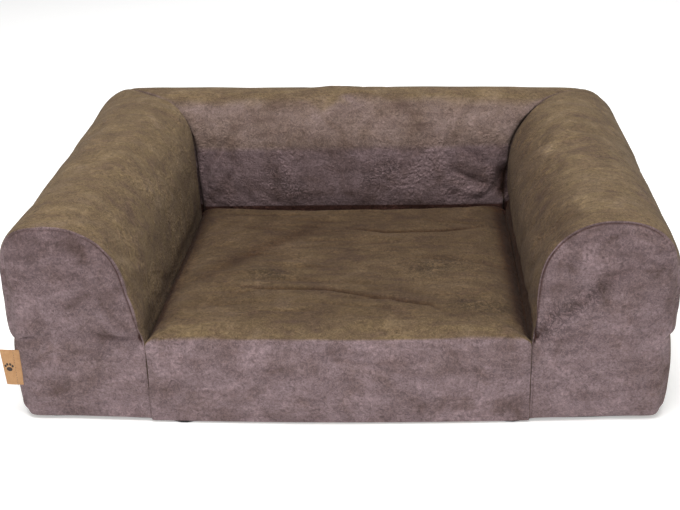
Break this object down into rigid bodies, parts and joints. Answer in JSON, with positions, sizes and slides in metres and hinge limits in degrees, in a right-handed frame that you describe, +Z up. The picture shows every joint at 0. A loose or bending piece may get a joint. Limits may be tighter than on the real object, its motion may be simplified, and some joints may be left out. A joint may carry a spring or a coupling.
{
  "type": "dog bed",
  "caption": "Dog sofa bed: foam base with a raised half-round bolster frame round three sides, in a suede-look cover with a rear zip and a side label.",
  "frame": {"origin": "on the floor, under the middle of the bed's outer box", "axes": "+X to the right across the arms, seen from the front; the open front faces -Y; +Z up"},
  "size_m": [0.8, 0.59, 0.27],
  "materials": {
    "suede_cloth": "brushed suede-look microfibre with a short directional nap",
    "non_slip_cloth": "matte black cloth with small raised grip dots",
    "foam": "open-cell polyurethane foam",
    "label_board": "matte washable kraft board",
    "zip_tape": "woven polyester tape",
    "zip_coil": "satin nylon coil",
    "zip_metal": "satin dark nickel plating"
  },
  "bodies": {
    "bed": {"bottom_panel": "non_slip_cloth", "base_foam": "foam", "seat_cover": "suede_cloth", "left_side_panel": "suede_cloth", "right_side_panel": "suede_cloth", "left_arm_foam": "foam", "right_arm_foam": "foam", "back_foam": "foam", "left_arm_cover": "suede_cloth", "right_arm_cover": "suede_cloth", "back_cover": "suede_cloth", "left_arm_front": "suede_cloth", "right_arm_front": "suede_cloth", "side_label": "label_board", "rear_panel_upper": "suede_cloth", "rear_panel_lower": "suede_cloth", "zip_tape_upper": "zip_tape", "zip_tape_lower": "zip_tape", "zip_coil_upper": "zip_coil", "zip_coil_lower": "zip_coil", "zip_top_stops": "zip_metal", "zip_bottom_stop": "zip_metal"},
    "slider": {"zip_slider": "zip_metal"},
    "pull_tab": {"zip_pull": "zip_metal"}
  },
  "joints": [
    {"name": "zip_slide", "type": "slide", "parent": "bed", "child": "slider", "axis": [1, 0, 0], "range_m": [0, 0.6713]},
    {"name": "pull_hinge", "type": "hinge", "parent": "slider", "child": "pull_tab", "pos_m": [-0.33565, 0.28325, 0.05], "axis": [1, 0, 0], "range_deg": [0, 175]}
  ]
}
